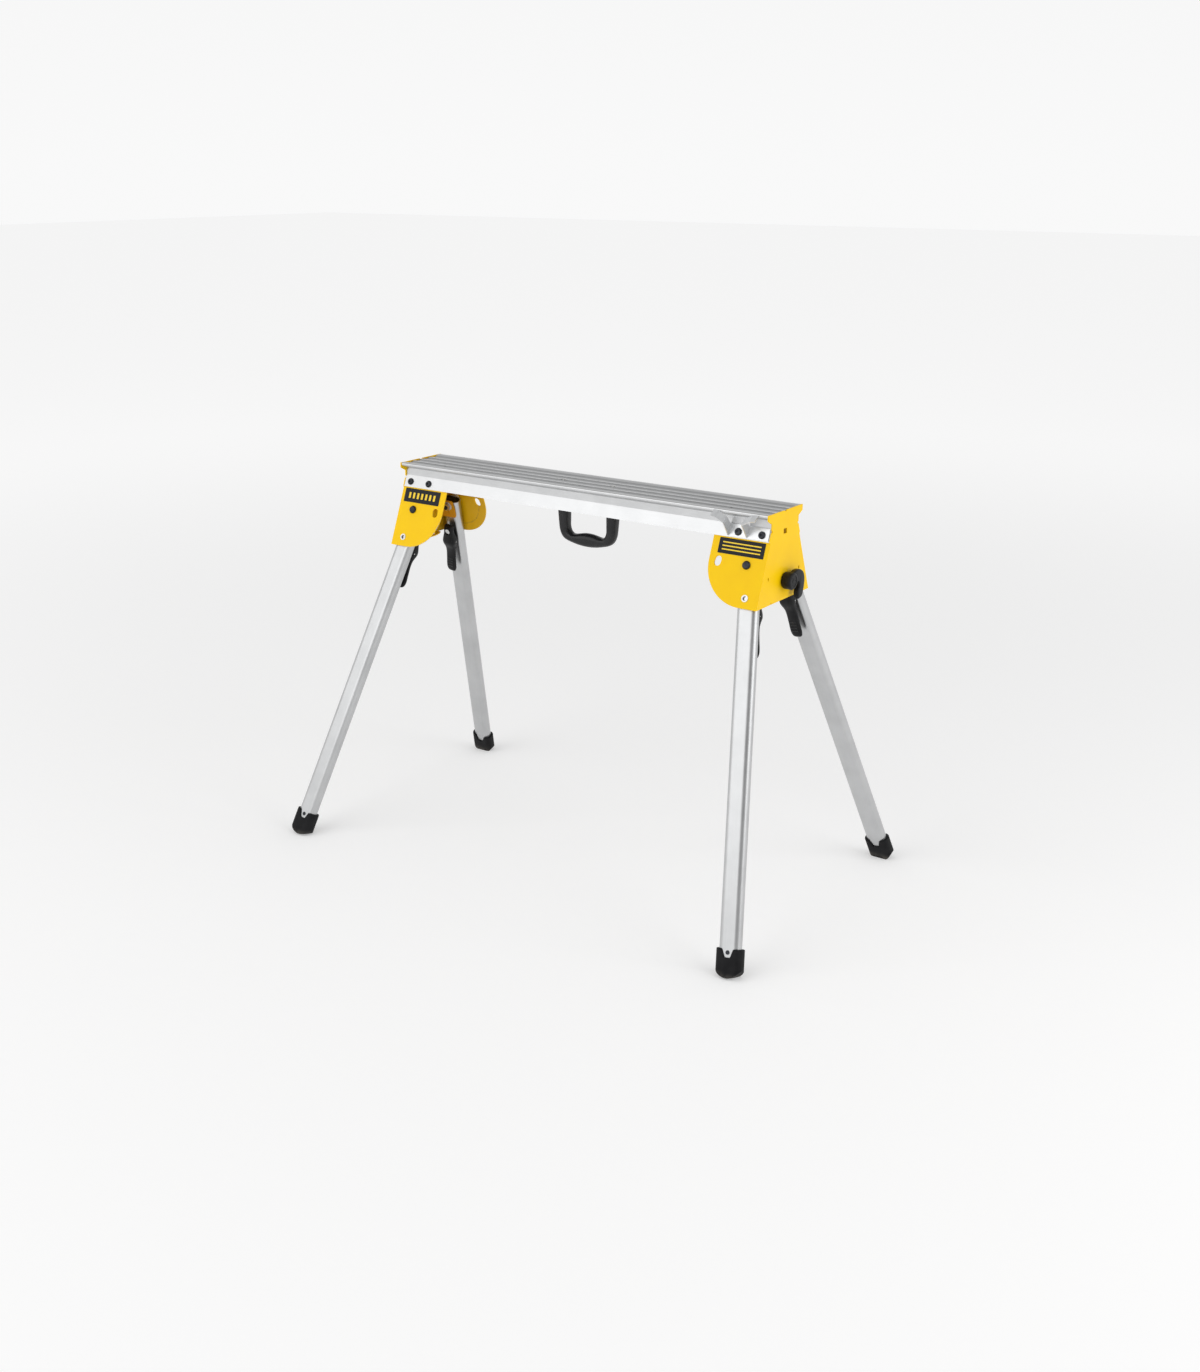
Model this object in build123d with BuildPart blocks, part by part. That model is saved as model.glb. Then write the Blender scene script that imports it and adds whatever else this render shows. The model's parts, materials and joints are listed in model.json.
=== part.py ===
from build123d import *
from math import cos, radians, sin, tan
import os

# Folding sawhorse. X runs along the beam, the front is -Y, Z is up and the floor is Z = 0.
# The origin is on the floor under the middle of the beam. Sizes are in millimetres.
# Each leg corner is drawn once, at the right front, and mirrored to the other three.

# Working height and beam
top_z = 813.0
beam_length = 917.0
wall = 2.5
lip_half = 66.5
lip_bottom_z = 807.0
lip_radius = 3.0
neck_half = 50.1
neck_top_z = 799.5
edge_z = 759.3
panel_z = 810.3
panel_half = 45.0
lip_crest = 57.0
rib_pitch = 27.0
rib_width = 7.0
rib_height = 1.4

# Sloping cheeks of the end brackets, which also set the slope of the legs
splay = 21.0
cheek_half_at_edge = 57.0
sheet = 2.5
bracket_bottom_z = 635.5
plate_neck_half = 52.4
plate_lip_half = 67.5

# Leg pivot, lock pin and folded slot
end_x = beam_length / 2 + sheet
pivot_inset = 40.5
pivot_z = 713.0
leg_lean = 10.0
lock_reach = 64.0
slot_width = 14.0
slot_length = 20.0

# Legs
tube_width = 44.0
tube_depth = 24.0
tube_wall = 1.8
tube_gap = 3.8
tube_top = 10.0
tube_end = 745.0
leg_length = 770.0
boot_width = 54.0
boot_depth = 30.0
boot_top = 716.0
boot_dome = 33.0

# Pivot hardware
bolt_radius = 5.0
running = 0.05
bolt_head_radius = 8.5
ear_gap = 1.0

# Release lever and lock pin
lever_fulcrum = 93.0
fulcrum_height = 9.0
pin_radius = 4.2
pin_shank = 4.0
pin_nose_depth = 2.7
bush_radius = 6.0

# Carrying handle
handle_half = 75.0
handle_depth = 24.0
handle_bottom_z = 674.0
grip_top_z = 703.0
handle_opening = 49.0

# Screws and fixing holes
screw_insets = (18.9, 70.4)
screw_u = 60.6
handle_screw_xs = (-62.0, 62.0)
fixing_pitch_x = 360.0
fixing_y = 34.0
fixing_hole = 2.2

# Transport hook on the right end plate
hook_y = 3.0
hook_z = 674.0
hook_radius = 17.0
hook_length = 21.0

cs = cos(radians(splay))
sn = sin(radians(splay))
slope = tan(radians(splay))
pivot_x = end_x - pivot_inset


def cheek_y(z):
    """Half width to the outer face of a cheek at height z."""
    return cheek_half_at_edge + (edge_z - z) * slope


pivot_y = cheek_y(pivot_z)
outward = Vector(0, -cs, sn)
lean_x = sin(radians(leg_lean))
lean_u = cos(radians(leg_lean))
down_leg = Vector(lean_x, -lean_u * sn, -lean_u * cs)
across_leg = Vector(lean_u, lean_x * sn, lean_x * cs)
pivot = Vector(pivot_x, -pivot_y, pivot_z)
tube_face = sheet + tube_gap
tube_axis = tube_face + tube_depth / 2
tube_back = tube_face + tube_depth
ear_depth = tube_back + ear_gap
edge_u = (edge_z - pivot_z) / cs
cheek_radius = (pivot_z - bracket_bottom_z) / cs
lock_x = lock_reach * lean_x
lock_u = -lock_reach * lean_u


def cheek_plane(depth=0.0):
    """Plane of the right front cheek: x along the beam, y up the slope, z outward."""
    return Plane(origin=pivot - outward * depth, x_dir=(1, 0, 0), z_dir=outward)


def leg_plane(depth=0.0):
    """Same slope, turned so that x runs down the leg and y towards the end of the beam."""
    return Plane(origin=pivot - outward * depth, x_dir=down_leg, z_dir=outward)


def leg_section(distance):
    """Plane square to the leg at a distance below the pivot."""
    origin = pivot - outward * tube_axis + down_leg * distance
    return Plane(origin=origin, x_dir=across_leg, z_dir=down_leg)


def side_plane(offset=0.0):
    """Plane through the leg's length: x runs down the leg, y away from its inner face."""
    origin = pivot - outward * tube_back + across_leg * offset
    return Plane(origin=origin, x_dir=down_leg, z_dir=across_leg)


def at_corner(part, end, side):
    """The right front part, mirrored to the named end and side."""
    if end == "left":
        part = mirror(part, about=Plane.YZ)
    if side == "rear":
        part = mirror(part, about=Plane.XZ)
    return part


ends = ("left", "right")
sides = ("front", "rear")
corners = [(end, side) for end in ends for side in sides]
pieces = {}


def keep(name, part):
    part.label = name
    pieces[name] = part


def keep_group(name, parts):
    keep(name, Compound(children=list(parts)))


def all_corners(part):
    return [at_corner(part, end, side) for end, side in corners]


# Beam: one extrusion with rounded lips, a ribbed top and flared side flanges
flange = wall / cs
neck_bottom_z = edge_z + (cheek_half_at_edge + flange - neck_half) / slope


def beam_outline():
    inner_half = neck_half - wall
    inner_bend_z = edge_z + (cheek_half_at_edge - inner_half) / slope
    ribs = []
    for centre in (rib_pitch, 0):
        outer = centre + rib_width / 2
        inner = centre - rib_width / 2
        ribs += [(outer, panel_z), (outer - 1.2, panel_z + rib_height)]
        if centre:
            ribs += [(inner + 1.2, panel_z + rib_height), (inner, panel_z)]
    ribs.append((0, panel_z + rib_height))
    lip_under_z = lip_bottom_z + 1.6
    return [
        (0, panel_z - wall),
        (panel_half + 1, panel_z - wall),
        (lip_crest, top_z - wall),
        (lip_half - wall, top_z - wall),
        (lip_half - wall, lip_under_z),
        (inner_half, neck_top_z + 1.8),
        (inner_half, inner_bend_z),
        (cheek_half_at_edge, edge_z),
        (cheek_half_at_edge + flange, edge_z),
        (neck_half, neck_bottom_z),
        (neck_half, neck_top_z),
        (lip_half, lip_bottom_z),
        (lip_half, top_z),
        (lip_crest, top_z),
        (panel_half, panel_z),
    ] + ribs


def screw_bores():
    """One clearance hole for each beam screw, at all four corners."""
    bores = []
    for inset in screw_insets:
        bore = cheek_plane(-1).location * Pos(pivot_inset - inset, screw_u, 0) * Cylinder(3.1, 12)
        bores += all_corners(bore)
    return bores


def make_beam():
    bores = screw_bores()
    with BuildPart() as beam:
        with BuildSketch(Plane.YZ.offset(-beam_length / 2)):
            with BuildLine():
                Polyline(*beam_outline(), close=True)
            make_face()
            mirror(about=Plane.YZ)
        extrude(amount=beam_length)
        long_edges = beam.edges().filter_by(Axis.X)
        crests = [e for e in long_edges if abs(abs(e.center().Y) - lip_half) < 0.01]
        fillet([e for e in crests if e.center().Z > top_z - 0.1], lip_radius)
        fillet([e for e in crests if e.center().Z < lip_bottom_z + 0.1], 1.5)
        add(bores, mode=Mode.SUBTRACT)
        with Locations(*[(x, 0, panel_z) for x in handle_screw_xs]):
            Cylinder(2.6, 20, mode=Mode.SUBTRACT)
            Cylinder(6.0, 4, align=(Align.CENTER, Align.CENTER, Align.MIN), mode=Mode.SUBTRACT)
        with Locations((0, 0, panel_z)):
            with GridLocations(fixing_pitch_x, 2 * fixing_y, 3, 2):
                Cylinder(fixing_hole, 12, mode=Mode.SUBTRACT)
    return beam.part


# End bracket: end plate with a mushroom top, two sloping cheeks and a bottom flange
def plate_outline():
    bottom_half = cheek_y(bracket_bottom_z)
    return [
        (0, bracket_bottom_z),
        (bottom_half, bracket_bottom_z),
        (cheek_y(755.0), 755.0),
        (cheek_half_at_edge + flange, edge_z + 1),
        (plate_neck_half, 780.0),
        (plate_neck_half, 793.5),
        (plate_lip_half, 801.5),
        (plate_lip_half, top_z - 0.3),
        (5.0, top_z - 0.3),
        (0, top_z - 4.0),
    ]


def make_end_bracket():
    with BuildPart() as bracket:
        with BuildSketch(Plane.YZ.offset(beam_length / 2)):
            with BuildLine():
                Polyline(*plate_outline(), close=True)
            make_face()
            mirror(about=Plane.YZ)
            with Locations((0, 772)):
                Rectangle(13, 10, mode=Mode.SUBTRACT)
            with Locations((-61, 688), (61, 688)):
                SlotOverall(7, 4, rotation=90, mode=Mode.SUBTRACT)
            with Locations((-47.5, bracket_bottom_z), (47.5, bracket_bottom_z)):
                Rectangle(2.5, 7, mode=Mode.SUBTRACT)
            with Locations((-plate_neck_half, 779), (plate_neck_half, 779)):
                Circle(2.5, mode=Mode.SUBTRACT)
        extrude(amount=sheet)
        outer = pivot_inset - sheet
        top_u = edge_u + 22
        diagonal = cheek_radius * cos(radians(45))
        with BuildSketch(cheek_plane()) as cheek:
            with BuildLine():
                Polyline(
                    (-cheek_radius, 0),
                    (-cheek_radius, top_u),
                    (outer, top_u),
                    (outer, -cheek_radius),
                    (0, -cheek_radius),
                )
                ThreePointArc((0, -cheek_radius), (-diagonal, -diagonal), (-cheek_radius, 0))
            make_face()
            Circle(bolt_radius + running, mode=Mode.SUBTRACT)
            with Locations((lock_x, lock_u)):
                Circle(bush_radius, mode=Mode.SUBTRACT)
            with Locations((-lock_reach + 1, 0)):
                SlotOverall(slot_length, slot_width, rotation=82, mode=Mode.SUBTRACT)
            for inset in screw_insets:
                with Locations((pivot_inset - inset, screw_u)):
                    Circle(3.1, mode=Mode.SUBTRACT)
        extrude(amount=-sheet)
        mirror(about=Plane.XZ)
        with BuildSketch(Plane.XY.offset(bracket_bottom_z)):
            with BuildLine():
                Polyline((end_x - 1, -45), (end_x - 1, 45), (end_x - 16, 45))
                ThreePointArc((end_x - 16, 45), (end_x - 29, 0), (end_x - 16, -45))
                Line((end_x - 16, -45), (end_x - 1, -45))
            make_face()
            with BuildLine():
                ThreePointArc((end_x - 14, -34), (end_x - 23, 0), (end_x - 14, 34))
                ThreePointArc((end_x - 14, 34), (end_x - 11, 0), (end_x - 14, -34))
            make_face(mode=Mode.SUBTRACT)
        extrude(amount=sheet)
    return bracket.part


# Inner pivot bracket: two ears that reach in from the end plate, inside the legs
def ear_y(z):
    """Half width to the middle of an ear's sheet at height z."""
    return pivot_y - (ear_depth + sheet / 2 + (z - pivot_z) * sn) / cs


def make_pivot_bracket():
    plate_side = pivot_inset - sheet
    back_low_z = 686.0
    back_high_z = 713.0
    with BuildPart() as ear:
        with BuildSketch(cheek_plane(ear_depth)):
            with BuildLine():
                Polyline(
                    (-13, 13),
                    (-16, 10),
                    (-16.5, -8),
                    (-15, -27),
                    (-12, -30),
                    (plate_side, -30),
                    (plate_side, 13),
                    close=True,
                )
            make_face()
            Circle(bolt_radius + running, mode=Mode.SUBTRACT)
            with Locations((3.6, -15.4)):
                SlotOverall(9, 2, rotation=60, mode=Mode.SUBTRACT)
        extrude(amount=-sheet)
    with BuildPart() as bracket:
        add(ear.part)
        add(mirror(ear.part, about=Plane.XZ))
        with BuildSketch(Plane.YZ.offset(beam_length / 2 - sheet)):
            with BuildLine():
                Polyline(
                    (-ear_y(back_low_z), back_low_z),
                    (ear_y(back_low_z), back_low_z),
                    (ear_y(back_high_z), back_high_z),
                    (-ear_y(back_high_z), back_high_z),
                    close=True,
                )
            make_face()
        extrude(amount=sheet)
    return bracket.part


# Pivot hardware, one set for each leg
def make_pivot_bolt():
    with BuildPart() as bolt:
        with BuildSketch(cheek_plane()):
            Circle(bolt_head_radius)
        extrude(amount=2)
        with BuildSketch(cheek_plane(-2)):
            Circle(bolt_head_radius)
        extrude(amount=3, taper=35)
        with BuildSketch(cheek_plane(-1)):
            Circle(bolt_radius)
        extrude(amount=-(ear_depth + sheet + 11))
    return bolt.part


def ring(plane, outer, inner, height):
    with BuildPart() as part:
        with BuildSketch(plane):
            Circle(outer)
            Circle(inner, mode=Mode.SUBTRACT)
        extrude(amount=-height)
    return part.part


def make_pivot_nut():
    with BuildPart() as nut:
        with BuildSketch(cheek_plane(ear_depth + sheet + 1.6)):
            RegularPolygon(9, 6)
            Circle(bolt_radius + 0.02, mode=Mode.SUBTRACT)
        extrude(amount=-7)
    return nut.part


def make_pivot_washers():
    hole = bolt_radius + 0.02
    outer_spacer = ring(cheek_plane(sheet), 13, hole, tube_gap - 0.1)
    inner_washer = ring(cheek_plane(tube_back + 0.1), 11, hole, ear_gap - 0.1)
    nut_washer = ring(cheek_plane(ear_depth + sheet), 10.5, hole, 1.6)
    return [outer_spacer, inner_washer, nut_washer]


# Eyelet in the cheek that the lock pin's nose stands in when the leg is open
def make_lock_bush():
    with BuildPart() as bush:
        with BuildSketch(cheek_plane(-1)):
            with Locations((lock_x, lock_u)):
                Circle(bush_radius + 1)
        extrude(amount=-1)
        with BuildSketch(cheek_plane(0)):
            with Locations((lock_x, lock_u)):
                Circle(bush_radius)
        extrude(amount=-(sheet + 2.6))
        with BuildSketch(cheek_plane(-1)):
            with Locations((lock_x, lock_u)):
                Circle(pin_radius + 0.08)
        extrude(amount=-(sheet + 4), mode=Mode.SUBTRACT)
    return bush.part


# Beam screw: domed head on the flange, shank through flange and cheek, nut inside
def make_beam_screw(inset, lift):
    x = end_x - inset - pivot_x
    seat = -wall - lift
    with BuildPart() as screw:
        with BuildSketch(cheek_plane(seat)):
            with Locations((x, screw_u)):
                Circle(7.5)
        extrude(amount=1.5)
        with BuildSketch(cheek_plane(seat - 1.5)):
            with Locations((x, screw_u)):
                Circle(7.5)
        extrude(amount=2.5, taper=35)
        with BuildSketch(cheek_plane(seat - 1)):
            with Locations((x, screw_u)):
                Circle(3.0)
        extrude(amount=-(wall + lift + sheet + 2))
        with BuildSketch(cheek_plane(sheet)):
            with Locations((x, screw_u)):
                RegularPolygon(5.5, 6)
        extrude(amount=-3.5)
        with BuildSketch(cheek_plane(seat - 4.5)):
            with Locations((x, screw_u)):
                RegularPolygon(2.6, 6)
        extrude(amount=-2.5, mode=Mode.SUBTRACT)
    return screw.part


# Legs
def flat_oval(width, depth):
    RectangleRounded(width, depth, depth / 2 - 0.6)


def make_leg_tube():
    with BuildPart() as tube:
        with BuildSketch(leg_section(-tube_top)):
            flat_oval(tube_width, tube_depth)
        extrude(amount=tube_top + tube_end)
        with BuildSketch(leg_section(-tube_top)):
            flat_oval(tube_width - 2 * tube_wall, tube_depth - 2 * tube_wall)
        extrude(amount=tube_top + tube_end, mode=Mode.SUBTRACT)
        with BuildSketch(leg_plane(tube_face - 1)):
            Circle(bolt_radius + running)
        extrude(amount=-(tube_depth + 2), mode=Mode.SUBTRACT)
        with BuildSketch(leg_plane(tube_face - 1)):
            with Locations((lock_reach, 0)):
                Circle(pin_radius + running)
            with Locations((boot_top + 7, 0)):
                Circle(2.5)
        extrude(amount=-8, mode=Mode.SUBTRACT)
        with BuildSketch(leg_plane(tube_back + 1)):
            with Locations((lock_reach, 0)):
                Circle(pin_shank + running)
            with Locations((lever_fulcrum - 8, 0), (lever_fulcrum + 8, 0)):
                Circle(1.6)
        extrude(amount=8, mode=Mode.SUBTRACT)
    return tube.part


def make_leg_plug():
    inner_width = tube_width - 2 * tube_wall - 0.2
    inner_depth = tube_depth - 2 * tube_wall - 0.2
    with BuildPart() as plug:
        with BuildSketch(leg_section(-tube_top + 0.4)):
            flat_oval(inner_width, inner_depth)
        extrude(amount=3.8)
        top_face = max(plug.faces(), key=lambda f: -(f.center() - pivot).dot(down_leg))
        chamfer(top_face.edges(), 0.6)
    return plug.part


# Rubber boot: a cup over the tube's end with a notch in each flat, a domed sole
# and a small flat trimmed parallel to the floor
def make_foot_boot():
    dome_chord = boot_width / 2
    corner = leg_length - (boot_dome - (boot_dome**2 - dome_chord**2) ** 0.5)
    with BuildPart() as boot:
        with BuildSketch(leg_plane(tube_axis - boot_depth / 2)):
            with BuildLine():
                Line((boot_top, -dome_chord), (corner, -dome_chord))
                ThreePointArc((corner, -dome_chord), (leg_length, 0), (corner, dome_chord))
                Line((corner, dome_chord), (boot_top, dome_chord))
                Line((boot_top, dome_chord), (boot_top, -dome_chord))
            make_face()
        extrude(amount=-boot_depth)
        along = boot.edges().filter_by(lambda e: abs(e.tangent_at(0.5).dot(down_leg)) > 0.999)
        fillet(along, boot_depth / 2 - 2)
        sole = [f for f in boot.faces() if f.geom_type == GeomType.CYLINDER]
        sole = max(sole, key=lambda f: (f.center() - pivot).dot(down_leg))
        fillet(sole.edges(), 1.8)
        with BuildSketch(leg_section(boot_top)):
            flat_oval(tube_width + 0.2, tube_depth + 0.2)
        extrude(amount=tube_end - boot_top + 0.1, mode=Mode.SUBTRACT)
        with BuildSketch(leg_plane(tube_axis - boot_depth / 2 - 1)):
            with BuildLine():
                Polyline(
                    (boot_top - 1, -14.5),
                    (boot_top + 16, -6.5),
                    (boot_top + 16, 6.5),
                    (boot_top - 1, 14.5),
                    close=True,
                )
            make_face()
        extrude(amount=-(boot_depth + 2), mode=Mode.SUBTRACT)
        split(bisect_by=Plane.XY, keep=Keep.TOP)
    return boot.part


def make_boot_screw():
    with BuildPart() as screw:
        with BuildSketch(leg_plane(tube_face)):
            with Locations((boot_top + 7, 0)):
                Circle(4.2)
        extrude(amount=1.2, taper=20)
        with BuildSketch(leg_plane(tube_face - 0.5)):
            with Locations((boot_top + 7, 0)):
                Circle(2.3)
        extrude(amount=-7.5)
    return screw.part


# Release lever: bracket and cross pin on the leg, lever over them, lock pin in its head
def make_lever_bracket():
    with BuildPart() as bracket:
        with BuildSketch(leg_plane(tube_back)):
            with Locations((lever_fulcrum, 0)):
                Rectangle(22, 17)
            with Locations((lever_fulcrum - 8, 0), (lever_fulcrum + 8, 0)):
                Circle(1.6, mode=Mode.SUBTRACT)
        extrude(amount=-1.5)
        for offset in (-8.5, 7.0):
            with BuildSketch(side_plane(offset)):
                with BuildLine():
                    Polyline(
                        (lever_fulcrum - 6, 0.5),
                        (lever_fulcrum + 6, 0.5),
                        (lever_fulcrum + 4, fulcrum_height),
                    )
                    ThreePointArc(
                        (lever_fulcrum + 4, fulcrum_height),
                        (lever_fulcrum, fulcrum_height + 4),
                        (lever_fulcrum - 4, fulcrum_height),
                    )
                    Line((lever_fulcrum - 4, fulcrum_height), (lever_fulcrum - 6, 0.5))
                make_face()
                with Locations((lever_fulcrum, fulcrum_height)):
                    Circle(2.02, mode=Mode.SUBTRACT)
            extrude(amount=1.5)
    return bracket.part


def lever_width_points():
    """Half widths of the lever down its length, from the head to the grip."""
    return [(49, 6), (53, 10), (60, 11.5), (76, 13), (88, 16), (95, 16), (108, 13), (130, 12.5),
            (158, 12.5), (170, 10), (175, 5)]


def make_release_lever():
    widths = lever_width_points()
    with BuildPart() as lever:
        with BuildSketch(side_plane(-17)):
            with BuildLine():
                Polyline((49, 4), (49, 12), (54, 17))
                Spline((54, 17), (76, 20.5), (92, 23.5), (110, 18.5), (132, 18), (160, 22.5))
                ThreePointArc((160, 22.5), (172, 21), (175, 15))
                Polyline((175, 15), (150, 12.2), (112, 6), (88, 1), (72, 3.5), (49, 4))
            make_face()
        extrude(amount=34)
        with BuildSketch(leg_plane(tube_back - 1)):
            with BuildLine():
                Spline(*widths)
                Spline(*[(x, -w) for x, w in widths])
                Line(widths[0], (widths[0][0], -widths[0][1]))
                Line(widths[-1], (widths[-1][0], -widths[-1][1]))
            make_face()
        extrude(amount=-30, mode=Mode.INTERSECT)
        with BuildSketch(side_plane(-9.1)):
            with BuildLine():
                Polyline((80, 0), (80, 10), (85, 15.2), (101, 15.2), (106, 8), (106, 0), close=True)
            make_face()
        extrude(amount=18.2, mode=Mode.SUBTRACT)
        with BuildSketch(side_plane(-20)):
            with Locations((lever_fulcrum, fulcrum_height)):
                Circle(2.0 + running)
        extrude(amount=40, mode=Mode.SUBTRACT)
        with BuildSketch(leg_plane(tube_back)):
            with Locations((lock_reach, 0)):
                Circle(5.4)
        extrude(amount=-30, mode=Mode.SUBTRACT)
        with BuildSketch(leg_plane(tube_back + 14)):
            with Locations((lock_reach, 0)):
                Circle(7.4)
        extrude(amount=-10, mode=Mode.SUBTRACT)
        with BuildSketch(side_plane(-8)):
            with Locations(*[(140 + 6.5 * i, 19.2 + 1.05 * i) for i in range(4)]):
                Circle(1.3)
        extrude(amount=16)
    return lever.part


def make_lever_pin():
    with BuildPart() as pin:
        with BuildSketch(side_plane(-15.2)):
            with Locations((lever_fulcrum, fulcrum_height)):
                Circle(2.0)
        extrude(amount=30.4)
    return pin.part


def make_lock_pin():
    head_depth = tube_back + 15.0
    with BuildPart() as pin:
        with BuildSketch(leg_plane(pin_nose_depth)):
            with Locations((lock_reach, 0)):
                Circle(pin_radius)
        extrude(amount=-(10.4 - pin_nose_depth))
        nose = max(pin.faces(), key=lambda f: (f.center() - pivot).dot(outward))
        chamfer(nose.edges(), 0.8)
        with BuildSketch(leg_plane(9.2)):
            with Locations((lock_reach, 0)):
                Circle(6.6)
        extrude(amount=-1.2)
        with BuildSketch(leg_plane(10.0)):
            with Locations((lock_reach, 0)):
                Circle(pin_shank)
        extrude(amount=-(head_depth - 9.5))
        with BuildSketch(leg_plane(head_depth)):
            with Locations((lock_reach, 0)):
                Circle(6.0)
        extrude(amount=-2.2)
    return pin.part


def make_lock_spring():
    wire = 0.6
    coil_radius = 5.3
    start = 10.4 + wire + 0.1
    height = tube_back - tube_wall - 0.1 - wire - start
    origin = pivot - outward * start + down_leg * lock_reach
    helix = Helix(height / 4.5, height, coil_radius)
    with BuildPart() as spring:
        with BuildSketch(Plane(origin=helix @ 0, z_dir=helix % 0)):
            Circle(wire)
        sweep(path=helix, is_frenet=True)
    place = Plane(origin=origin, x_dir=down_leg, z_dir=outward * -1)
    return spring.part.moved(place.location)


# Carrying handle: a rigid U under the middle of the beam with a crowned grip
def make_carry_handle():
    seat_z = panel_z - wall - 0.05
    with BuildPart() as handle:
        with BuildSketch(Plane.XZ.offset(-handle_depth / 2)):
            with BuildLine():
                Polyline(
                    (-handle_half, seat_z),
                    (-handle_half, 765),
                    (-handle_half + 5, 704),
                )
                Spline(
                    (-handle_half + 5, 704),
                    (-handle_half + 22, 684),
                    (0, handle_bottom_z),
                    (handle_half - 22, 684),
                    (handle_half - 5, 704),
                    tangents=((0.2, -1), (0.2, 1)),
                )
                Polyline(
                    (handle_half - 5, 704),
                    (handle_half, 765),
                    (handle_half, seat_z),
                    (handle_opening, seat_z),
                    (handle_opening, 712),
                )
                Spline(
                    (handle_opening, 712),
                    (handle_opening - 12, 698),
                    (0, grip_top_z),
                    (-handle_opening + 12, 698),
                    (-handle_opening, 712),
                    tangents=((0, -1), (0, 1)),
                )
                Polyline((-handle_opening, 712), (-handle_opening, seat_z), (-handle_half, seat_z))
            make_face()
        extrude(amount=handle_depth)
        with BuildSketch(Plane.YZ.offset(-handle_half - 1)) as section:
            with Locations((0, 740)):
                RectangleRounded(handle_depth, 2 * (740 - handle_bottom_z + 1), 9)
        extrude(amount=2 * handle_half + 2, mode=Mode.INTERSECT)
        with Locations(*[(x, 0, seat_z) for x in handle_screw_xs]):
            Cylinder(2.2, 60, mode=Mode.SUBTRACT)
    return handle.part


def make_handle_screw(x):
    with BuildPart() as screw:
        with Locations((x, 0, panel_z + 0.7)):
            Cylinder(5.0, 1.4)
        with Locations((x, 0, panel_z - 12)):
            Cylinder(2.2, 24)
    return screw.part


# Side rest: a folded plate on the right front flange with two horns that form a V
def facet(points, thickness=2.0):
    face = Face(Wire(Polyline(*points, close=True)))
    return extrude(face, amount=thickness / 2, dir=face.normal_at(), both=True)


def make_horn(root_x, way):
    """A fin that stands out of the flange, and a flap that folds off its top edge."""
    depth = Vector(0, -13.5, -10.5)
    top = Vector(root_x, -68.5, 801.0)
    bend = top + Vector(way * 17, 0, 8.5)
    tip = bend + Vector(way * 11, 0, 1.2)
    fin = facet([(root_x, -59.9, 761.5), (root_x, -51.7, 783.0), top, top + depth])
    flap = facet([top, bend, bend + depth, top + depth])
    end = facet([bend, tip, tip + depth, bend + depth])
    return [fin, flap, end]


def make_side_rest():
    middle = end_x - screw_insets[1]
    stem = 20.5
    with BuildPart() as plate:
        with BuildSketch(cheek_plane(-wall)):
            with BuildLine():
                Polyline(
                    (middle - stem - 1 - pivot_x, edge_u + 1),
                    (end_x - 4 - pivot_x, edge_u + 1),
                    (end_x - 4 - pivot_x, edge_u + 25),
                    (middle - stem - 1 - pivot_x, edge_u + 25),
                    close=True,
                )
            make_face()
            for inset in screw_insets:
                with Locations((end_x - inset - pivot_x, screw_u)):
                    Circle(3.1, mode=Mode.SUBTRACT)
        extrude(amount=2)
    facets = make_horn(middle - stem, -1) + make_horn(middle + stem, 1)
    with BuildPart() as rest:
        add(plate.part)
        add(facets)
    return rest.part


# Label plates on the front cheeks
def make_label(centre_x):
    with BuildPart() as label:
        with BuildSketch(cheek_plane()):
            with Locations((centre_x - pivot_x, 31.0)):
                RectangleRounded(100, 30.6, 1.5)
        extrude(amount=0.5)
    return label.part


# Transport hook: a barrel that turns on the end plate, with an arm that curls down
def make_transport_hook():
    with BuildPart() as hook:
        with BuildSketch(Plane.YZ.offset(end_x + 0.4)):
            with Locations((hook_y, hook_z)):
                Circle(hook_radius)
        extrude(amount=hook_length)
        rim = max(hook.faces(), key=lambda f: f.center().X)
        fillet(rim.edges(), 3.0)
        with BuildSketch(Plane.YZ.offset(end_x + 9)):
            with BuildLine():
                Line((hook_y - 9, hook_z + 10), (hook_y + 4, hook_z + hook_radius))
                Spline(
                    (hook_y + 4, hook_z + hook_radius),
                    (hook_y + 26, hook_z + 19),
                    (hook_y + 43, hook_z + 8),
                    (hook_y + 46, hook_z - 12),
                    (hook_y + 40, hook_z - 34),
                )
                Line((hook_y + 40, hook_z - 34), (hook_y + 22, hook_z - 42))
                Spline(
                    (hook_y + 22, hook_z - 42),
                    (hook_y + 20, hook_z - 24),
                    (hook_y + 27, hook_z - 12),
                    (hook_y + 20, hook_z - 4),
                    (hook_y + 8, hook_z - 8),
                )
                Line((hook_y + 8, hook_z - 8), (hook_y - 9, hook_z + 10))
            make_face()
        extrude(amount=hook_length - 8.6 - 1)
        with BuildSketch(Plane.YZ.offset(end_x)):
            with Locations((hook_y, hook_z)):
                Circle(4.0 + running)
        extrude(amount=13, mode=Mode.SUBTRACT)
    return hook.part


def make_hook_pivot():
    with BuildPart() as stud:
        with BuildSketch(Plane.YZ.offset(beam_length / 2 - 5)):
            with Locations((hook_y, hook_z)):
                RegularPolygon(7, 6)
        extrude(amount=5)
        with BuildSketch(Plane.YZ.offset(beam_length / 2)):
            with Locations((hook_y, hook_z)):
                Circle(4.0)
        extrude(amount=sheet + 12)
    return stud.part


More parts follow.
